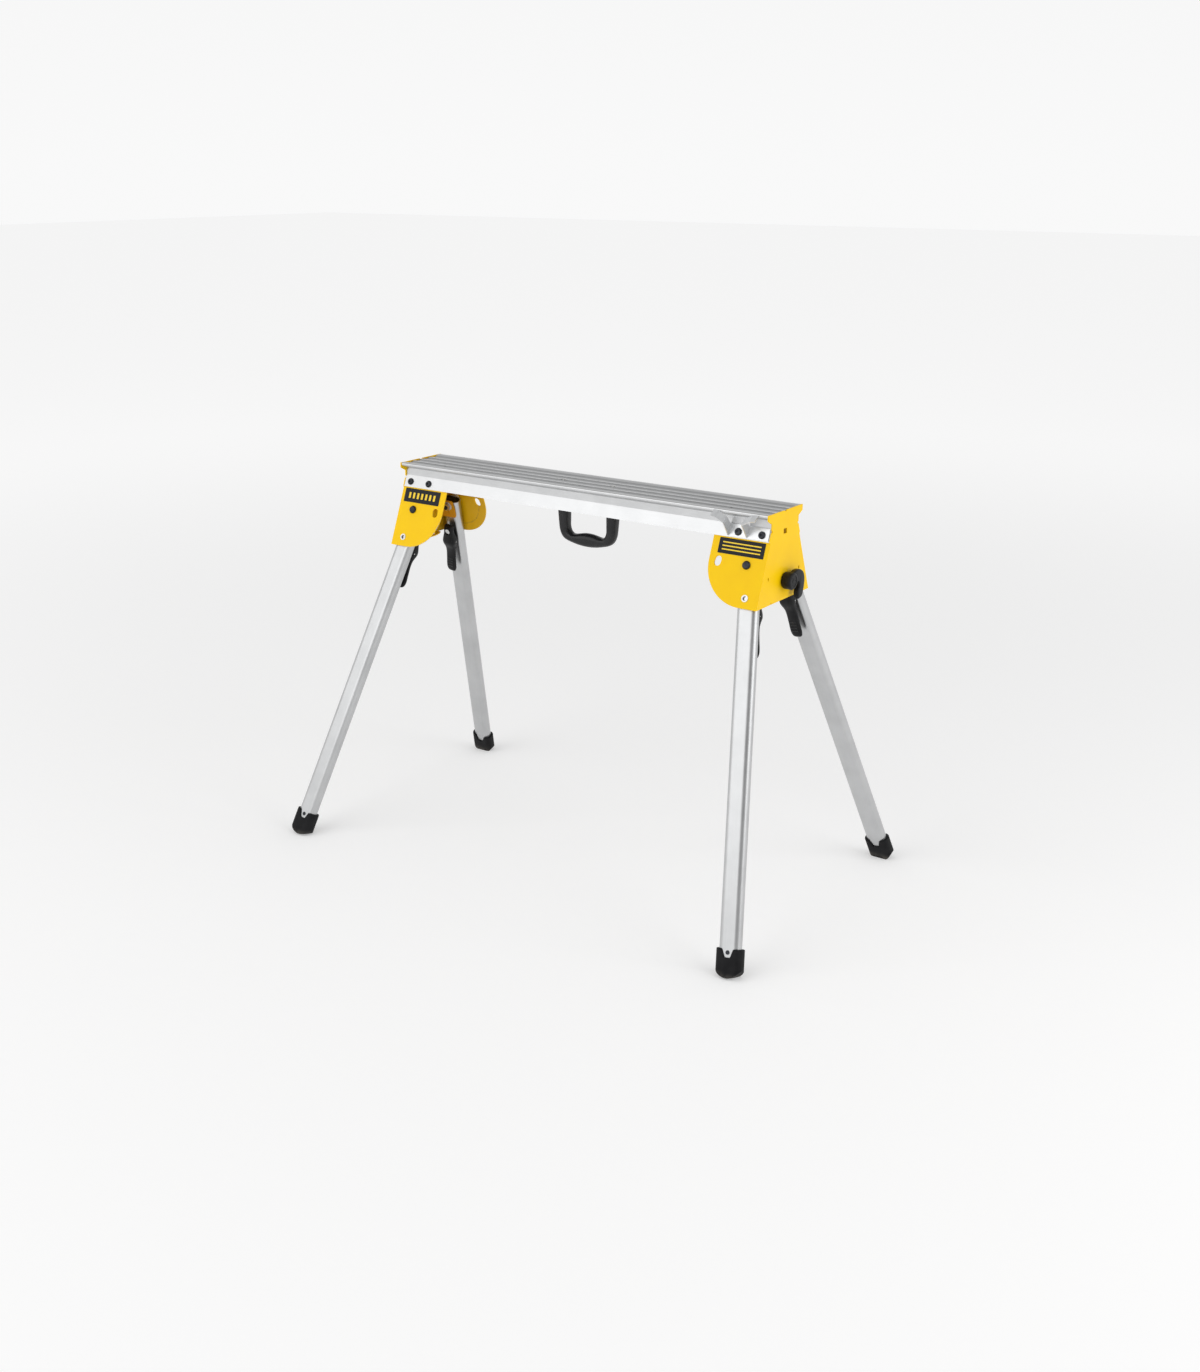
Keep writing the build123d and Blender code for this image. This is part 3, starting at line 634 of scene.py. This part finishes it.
levers = makeLevers(leverSizes)
ribBook, ribNames = ribTree()
firstRib = leverSizes["firstRib"]
lastRib = firstRib + 20
riseFirst = sample(leverSizes["top"], firstRib)
riseLast = sample(leverSizes["top"], lastRib)
gripStart = legPoint(firstRib, 0, leverSizes["back"] + riseFirst - 0.35)
gripWay = (legPoint(lastRib, 0, leverSizes["back"] + riseLast - 0.35) - gripStart).normalized()
ribMatrix = frameMatrix(gripStart, acrossLeg, gripWay, acrossLeg.cross(gripWay))
ribs = growPiece("ribs", ribBook, ribNames, {
    "Count": leverSizes["ribs"], "Spacing": leverSizes["ribSpacing"], "Half": leverSizes["ribHalf"],
    "Radius": leverSizes["ribRadius"], "Sag": leverSizes["ribSag"]}, ribMatrix)
leverRibs = mirroredCopies(ribs, "leverRibs")
for end, side in corners:
    for group in (levers, leverRibs):
        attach(group[(end, side)], f"lever_{end}_{side}")
    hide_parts(f"release_lever_{end}_{side}")
print("levers made")


# Lock springs

springSizes = {"down": 64.0, "near": 10.5, "fixed": 28.4, "travel": 4.1}


def makeSpring(end, side, sizes):
    # the CAD wire in a copy, carried by the leg
    node = frame["nodes"][f"lock_spring_{end}_{side}"]
    mesh = node.data.copy()
    mesh.name = f"spring_{end}_{side}"
    mesh.transform(node.matrix_world)
    spring = bpy.data.objects.new(mesh.name, mesh)
    bpy.context.scene.collection.objects.link(spring)
    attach(spring, f"leg_{end}_{side}")
    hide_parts(node.name)
    fixedEnd = flipped(legPoint(sizes["down"], 0, sizes["fixed"]), end, side) * 0.001
    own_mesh(spring)


for end, side in corners:
    makeSpring(end, side, springSizes)
print("springs made")


# Rubber boots

bootSizes = {
    "width": 54.0, "depth": 30.0, "top": 716.0, "length": 770.0, "dome": 33.0, "axis": 18.3,
    "notchDepth": 16.0, "notchHalfTop": 14.5, "notchHalfLow": 6.6, "tubeEnd": 745.0,
    "tubeWidth": 44.2, "tubeDepth": 24.2, "soleEdge": 2.4,
}


def ovalRing(width, depth, radius, flat=18, bend=9):
    # front half from -across to +across, then the back half the other way: (across, out)
    halfWidth, halfDepth = width / 2, depth / 2
    straight = halfWidth - radius
    front = []
    for i in range(bend):
        angle = math.pi - math.pi / 2 * i / bend
        front.append((-straight + radius * math.cos(angle), halfDepth - radius + radius * math.sin(angle)))
    front += [(-straight + 2 * straight * i / flat, halfDepth) for i in range(flat + 1)]
    for i in range(1, bend + 1):
        angle = math.pi / 2 - math.pi / 2 * i / bend
        front.append((straight + radius * math.cos(angle), halfDepth - radius + radius * math.sin(angle)))
    back = [(a, -o) for a, o in reversed(front)]
    return front + back


def makeBoots(sizes):
    outer = ovalRing(sizes["width"], sizes["depth"], 13)
    inner = ovalRing(sizes["tubeWidth"], sizes["tubeDepth"], 11.4)
    count = len(outer)
    reach = sizes["notchHalfTop"] - sizes["notchHalfLow"]

    def rim(across):
        share = (sizes["notchHalfTop"] - abs(across)) / reach
        return sizes["top"] + sizes["notchDepth"] * min(max(share, 0), 1)

    def sole(across):
        spread = min(abs(across), sizes["width"] / 2)
        return sizes["length"] - sizes["dome"] + math.sqrt(sizes["dome"]**2 - spread**2)

    def shrunk(inset):
        shareA = 1 - inset / (sizes["width"] / 2)
        shareO = 1 - inset / (sizes["depth"] / 2)
        return [(a * shareA, o * shareO) for a, o in outer]

    def ring(section, downs):
        return [legPoint(down, a, sizes["axis"] - o) for (a, o), down in zip(section, downs)]

    tops = [rim(a) for a, o in outer]
    bottoms = [sole(a) for a, o in outer]
    rings = [
        ring(inner, [sizes["tubeEnd"]] * count),
        ring(inner, [t + 1.0 for t in tops]),
        ring(inner, [t + 0.2 for t in tops]),
        ring(shrunk(1.2), tops),
        ring(shrunk(0.35), [t + 0.25 for t in tops]),
        ring(outer, [t + 1.2 for t in tops]),
    ]
    edge = sizes["soleEdge"]
    for i in range(1, 9):
        share = i / 8
        downs = [(t + 1.2) * (1 - share) + (b - edge) * share for t, b in zip(tops, bottoms)]
        rings.append(ring(outer, downs))
    for i in range(1, 6):
        angle = math.pi / 2 * i / 5
        inset = edge * (1 - math.cos(angle))
        rise = edge * math.sin(angle)
        rings.append(ring(shrunk(inset), [b - edge + rise for b in bottoms]))
    points = [p for row in rings for p in row]
    faces = []
    for row in range(len(rings) - 1):
        for i in range(count):
            j = (i + 1) % count
            faces.append((row * count + i, row * count + j, (row + 1) * count + j, (row + 1) * count + i))
    half = count // 2
    for row in (0, len(rings) - 1):
        for i in range(half - 1):
            quad = (i, i + 1, count - 2 - i, count - 1 - i)
            faces.append(tuple(row * count + k for k in quad))
    boot = makePiece("boot", points, faces, finishes["rubber"], 40)
    trim = bmesh.new()
    trim.from_mesh(boot.data)
    everything = trim.verts[:] + trim.edges[:] + trim.faces[:]
    cut = bmesh.ops.bisect_plane(trim, geom=everything, plane_co=(0, 0, 0), plane_no=(0, 0, 1),
                                 clear_inner=True)
    rimEdges = [e for e in cut["geom_cut"] if isinstance(e, bmesh.types.BMEdge)]
    bmesh.ops.contextual_create(trim, geom=rimEdges)
    bmesh.ops.recalc_face_normals(trim, faces=trim.faces)
    trim.to_mesh(boot.data)
    trim.free()
    smoothByAngle(boot, 40)
    return mirroredCopies(boot, "boot")


boots = makeBoots(bootSizes)
for end, side in corners:
    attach(boots[(end, side)], f"leg_{end}_{side}")
    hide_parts(f"foot_boot_{end}_{side}")
print("boots made")


# Carrying handle

handleSizes = {
    "stations": [  # outer x, outer z, inner x, inner z, half depth, squareness
        (-75, 807.7, -49, 807.7, 12.0, 3.6), (-75, 785, -49, 785, 12.0, 3.6), (-75, 765, -49, 765, 12.0, 3.4),
        (-73.6, 742, -49, 744, 12.0, 3.2), (-71.9, 722, -49, 726, 11.9, 3.0),
        (-70.2, 706, -48.7, 714, 11.8, 2.7),
        (-66.2, 694.5, -46.2, 705.6, 11.8, 2.5), (-59.8, 687.0, -42.0, 700.4, 11.9, 2.4),
        (-50.5, 682.2, -36.2, 698.2, 12.0, 2.3), (-38, 678.8, -28, 698.9, 12.0, 2.3),
        (-24, 675.9, -18.5, 701.0, 12.0, 2.3), (-11, 674.4, -9, 702.6, 12.0, 2.3),
        (0, 674, 0, 703, 12.0, 2.3)],
    "steps": 6,
    "ringPoints": 36,
}


def makeHandle(sizes):
    half = sizes["stations"]
    other = [(-a, b, -c, d, e, f) for a, b, c, d, e, f in reversed(half[:-1])]
    stations = half + other
    columns = [[(i, row[k]) for i, row in enumerate(stations)] for k in range(6)]
    rings = []
    total = (len(stations) - 1) * sizes["steps"]
    for i in range(total + 1):
        place = i / sizes["steps"]
        ox, oz, ix, iz, deep, power = (sample(column, place) for column in columns)
        low = Vector((ox, 0, oz))
        high = Vector((ix, 0, iz))
        middle = (low + high) / 2
        span = (high - low) / 2
        ring = []
        for k in range(sizes["ringPoints"]):
            angle = math.tau * (k + 0.5) / sizes["ringPoints"]
            c, s = math.cos(angle), math.sin(angle)
            y = deep * math.copysign(abs(c) ** (2 / power), c)
            ring.append(middle + span * math.copysign(abs(s) ** (2 / power), s) + Vector((0, y, 0)))
        rings.append(ring)
    points, faces = loft(rings)
    return makePiece("carryHandle", points, faces, finishes["grip"], 60)


handle = makeHandle(handleSizes)
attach(handle, "root")
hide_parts("carry_handle")
print("handle made")


# Transport hook

hookSizes = {
    "x": 461.4, "y": 3.0, "z": 674.0, "armFrom": 8.6, "armThick": 11.4,
    "arm": [(-9, 10), (-3, 15.6), (4, 17.6), (14, 19.6), (26, 19.2), (36, 15), (43, 8), (46.2, -2), (46, -12),
            (43.6, -24), (40.6, -33), (36.5, -37.6), (28, -40.6), (23, -39.6), (21.2, -33),
            (21.0, -24), (24.4, -17),
            (25.0, -10), (20, -4), (8, -8), (-4, 2)],
    "dots": 3, "dotReach": 7.8, "dotRadius": 0.9,
}


def smoothLoop(stops, steps):
    # closed curve through flat points
    count = len(stops)
    loop = []
    for i in range(count):
        p0, p1, p2, p3 = (Vector((*stops[(i + k) % count], 0)) for k in (-1, 0, 1, 2))
        for s in range(steps):
            t = s / steps
            way = 2 * p1 + (p2 - p0) * t + (2 * p0 - 5 * p1 + 4 * p2 - p3) * t * t
            loop.append((way + (3 * p1 - p0 - 3 * p2 + p3) * t**3) * 0.5)
    return loop


def makeHook(sizes):
    def at(forward, y, z):
        return Vector((sizes["x"] + forward, sizes["y"] + y, sizes["z"] + z))

    profile = [(0, 14.2), (0.6, 15.4), (2.2, 15.8), (2.6, 16.6), (3.4, 17.0), (17.6, 17.0), (19.4, 16.4),
               (20.5, 15.2), (21.0, 13.4), (21.0, 11.6), (20.3, 11.1), (20.3, 4.6), (20.9, 4.2), (20.9, 0.6)]
    rings = []
    for forward, radius in profile:
        turns = [math.tau * i / 64 for i in range(64)]
        rings.append([at(forward, radius * math.cos(a), radius * math.sin(a)) for a in turns])
    points, faces = loft(rings)
    barrel = makePiece("hookBarrel", points, faces, finishes["plastic"], 35)
    cutWith(barrel, [makeRod("studHole", at(-2, 0, 0), at(12.6, 0, 0), 4.05)])
    smoothByAngle(barrel, 35)
    outline = [at(sizes["armFrom"], p.x, p.y) for p in smoothLoop(sizes["arm"], 4)]
    arm = makeSlab("hookArm", outline, Vector((sizes["armThick"], 0, 0)), finishes["plastic"], 2.6, 4, 50)
    cutWith(arm, [makeRod("studHole", at(-2, 0, 0), at(12.6, 0, 0), 4.05)])
    smoothByAngle(arm, 50)
    return [barrel, arm]


def dotTree():
    book, flows, names = newTree("faceDots", [
        ("Count", "NodeSocketInt", 3), ("Reach", "NodeSocketFloat", 7.8), ("Radius", "NodeSocketFloat", 0.9)])
    circle = book.get("GeometryNodeMeshCircle", None, {"Vertices": flows["Count"], "Radius": flows["Reach"]})
    dot = book.get("GeometryNodeMeshUVSphere", None, {"Segments": 16, "Rings": 8, "Radius": flows["Radius"]})
    spread = book.get("GeometryNodeInstanceOnPoints", None, {"Points": circle, "Instance": dot})
    soft = book.get("GeometryNodeSetShadeSmooth", None, {"Geometry": spread})
    closeTree(book, soft, finishes["plastic"])
    return book, names


hookPieces = makeHook(hookSizes)
dotBook, dotNames = dotTree()
dotPlace = Vector((hookSizes["x"] + 20.2, hookSizes["y"], hookSizes["z"]))
dotMatrix = frameMatrix(dotPlace, Vector((0, 1, 0)), Vector((0, 0, 1)), Vector((1, 0, 0)))
dotValues = {"Count": hookSizes["dots"], "Reach": hookSizes["dotReach"], "Radius": hookSizes["dotRadius"]}
hookPieces.append(growPiece("hookDots", dotBook, dotNames, dotValues, dotMatrix))
for thing in hookPieces:
    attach(thing, "hook")
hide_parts("transport_hook")
print("hook made")


# Label marks

labelSizes = {"centre": 402.6, "up": 31.0, "lift": 0.5, "ink": 0.12,
              "bars": 7, "barPitch": 11.6, "barWidth": 5.4, "barHeight": 13.0,
              "lineHalf": 42, "lineRises": (7, 0, -7), "lineWidth": 2.4}


def barTree():
    book, flows, names = newTree("labelBars", [
        ("Count", "NodeSocketInt", 7), ("Pitch", "NodeSocketFloat", 11.0), ("Width", "NodeSocketFloat", 6.0),
        ("Height", "NodeSocketFloat", 12.0), ("Ink", "NodeSocketFloat", 0.12)])
    size = book.join(flows["Width"], flows["Height"], flows["Ink"])
    bar = book.get("GeometryNodeMeshCube", None, {"Size": size})
    start = flows["Pitch"] * (flows["Count"] - 1) * -0.5
    line = book.get("GeometryNodeMeshLine", {"mode": "OFFSET"}, {
        "Count": flows["Count"], "Start Location": book.join(start, 0.0, 0.0),
        "Offset": book.join(flows["Pitch"], 0.0, 0.0)})
    row = book.get("GeometryNodeInstanceOnPoints", None, {"Points": line, "Instance": bar})
    closeTree(book, row, finishes["ink"])
    return book, names


def labelPoint(end, x, y):
    # across and up on a front label, both as seen from the front
    centre = labelSizes["centre"] - pivot.x
    along = centre + x if end == "right" else centre - x
    return flipped(cheekPoint(along, labelSizes["up"] + y, -labelSizes["lift"]), end, "front")


def inkStroke(name, end, stops, width):
    # flat stroke of even width through the stops
    outlineA, outlineB = [], []
    for i, stop in enumerate(stops):
        before = Vector(stops[max(i - 1, 0)])
        after = Vector(stops[min(i + 1, len(stops) - 1)])
        way = (after - before).normalized()
        side = Vector((-way.y, way.x)) * width / 2
        outlineA.append(Vector(stop) + side)
        outlineB.append(Vector(stop) - side)
    outline = [labelPoint(end, p.x, p.y) for p in outlineA + outlineB[::-1]]
    return makeSlab(name, outline, outward * labelSizes["ink"], finishes["ink"])


def makeLabelMarks():
    marks = []
    barBook, barNames = barTree()
    origin = labelPoint("left", 0, 0) + outward * labelSizes["ink"] / 2
    matrix = frameMatrix(origin, Vector((1, 0, 0)), upSlope, outward)
    values = {"Count": labelSizes["bars"], "Pitch": labelSizes["barPitch"], "Width": labelSizes["barWidth"],
              "Height": labelSizes["barHeight"], "Ink": labelSizes["ink"]}
    marks.append(growPiece("labelBars", barBook, barNames, values, matrix))
    half = labelSizes["lineHalf"]
    for index, rise in enumerate(labelSizes["lineRises"]):
        stops = [(-half, rise), (half, rise)]
        marks.append(inkStroke(f"labelStroke_{index}", "right", stops, labelSizes["lineWidth"]))
    return marks


for thing in makeLabelMarks():
    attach(thing, "root")
print("label marks made")


# Studio

studio = {
    "floorSize": 60.0, "floorTone": 0.80, "glowNear": 0.28, "glowFar": 0.46,
    "sky": [(0.0, 0.945), (0.10, 0.93), (0.50, 0.62), (1.0, 0.46)], "skyStrength": 1.0,
    "shadeWay": (0.70, -0.71, 0.0), "shade": 0.55,
    "lights": [  # name, place, size, power
        ("frontSoft", (-1.6, -3.4, 2.8), 4.2, 58), ("rightSoft", (3.2, 0.2, 2.0), 2.6, 30)],
}


def makeFloor(values):
    # pale floor with a faint glow that grows with distance, so that it meets the sky without a line
    bpy.ops.mesh.primitive_plane_add(size=values["floorSize"], location=(0, 0, 0))
    floor = bpy.context.object
    floor.name = "studioFloor"
    material, book, shader = newFinish("studioPale", Roughness=0.9, Emission_Strength=1.0)
    shader.inputs["Specular IOR Level"].default_value = 0.0
    shader.inputs["Base Color"].default_value = (values["floorTone"],) * 3 + (1,)
    away = book.vector("LENGTH", book.get("ShaderNodeTexCoord", None, None, 3), (0, 0, 0), 1)
    near, far = (values["glowNear"],) * 3, (values["glowFar"],) * 3
    feed(book, shader, Emission_Color=book.blend(book.step(away, 0.9, 6.0), near, far))
    floor.data.materials.append(material)


def makeSky(values):
    world = bpy.data.worlds.new("studioWorld")
    world.use_nodes = True
    book = NodeBook(world.node_tree)
    way = book.get("ShaderNodeTexCoord")
    height = Flow(book, book.node("ShaderNodeSeparateXYZ", None, {0: way}).outputs[2])
    background = world.node_tree.nodes["Background"]
    background.inputs["Strength"].default_value = values["skyStrength"]
    # a softly shaded side gives the bright metal something darker to mirror
    facing = book.step(book.dot(way, values["shadeWay"]), 0.50, 0.95)
    shaded = facing * book.step(height, 0.05, 0.35) * values["shade"]
    tone = book.dot(book.ramp(height, values["sky"]), (0.3334, 0.3333, 0.3333)) * (1 - shaded)
    world.node_tree.links.new(tone.socket, background.inputs["Color"])
    bpy.context.scene.world = world


def makeLights(values):
    aim = Vector((0, 0, 0.5))
    for name, place, size, power in values["lights"]:
        light = bpy.data.lights.new(name, "AREA")
        light.energy = power
        light.size = size
        lamp = bpy.data.objects.new(name, light)
        lamp.location = place
        lamp.rotation_euler = (aim - Vector(place)).to_track_quat("-Z", "Y").to_euler()
        bpy.context.scene.collection.objects.link(lamp)


cameraSet = {
    "place": (1.86508, -2.64754, 1.46180), "lens": 41.70, "shiftX": 0.0272, "shiftY": -0.0714,
    "right": (0.8078, 0.5895, 0.0), "up": (-0.1541, 0.2112, 0.9652),
}


def makeCamera(values):
    camera = bpy.data.cameras.new("studioCamera")
    camera.lens = values["lens"]
    camera.sensor_width = 36
    camera.shift_x = values["shiftX"]
    camera.shift_y = values["shiftY"]
    right = Vector(values["right"]).normalized()
    back = right.cross(Vector(values["up"])).normalized()
    up = back.cross(right)
    turn = Matrix((right, up, back)).transposed().to_4x4()
    thing = bpy.data.objects.new("studioCamera", camera)
    thing.matrix_world = Matrix.Translation(values["place"]) @ turn
    bpy.context.scene.collection.objects.link(thing)
    bpy.context.scene.camera = thing


makeFloor(studio)
makeSky(studio)
makeLights(studio)
makeCamera(cameraSet)
bpy.context.scene.view_settings.view_transform = "Standard"
print("studio made")
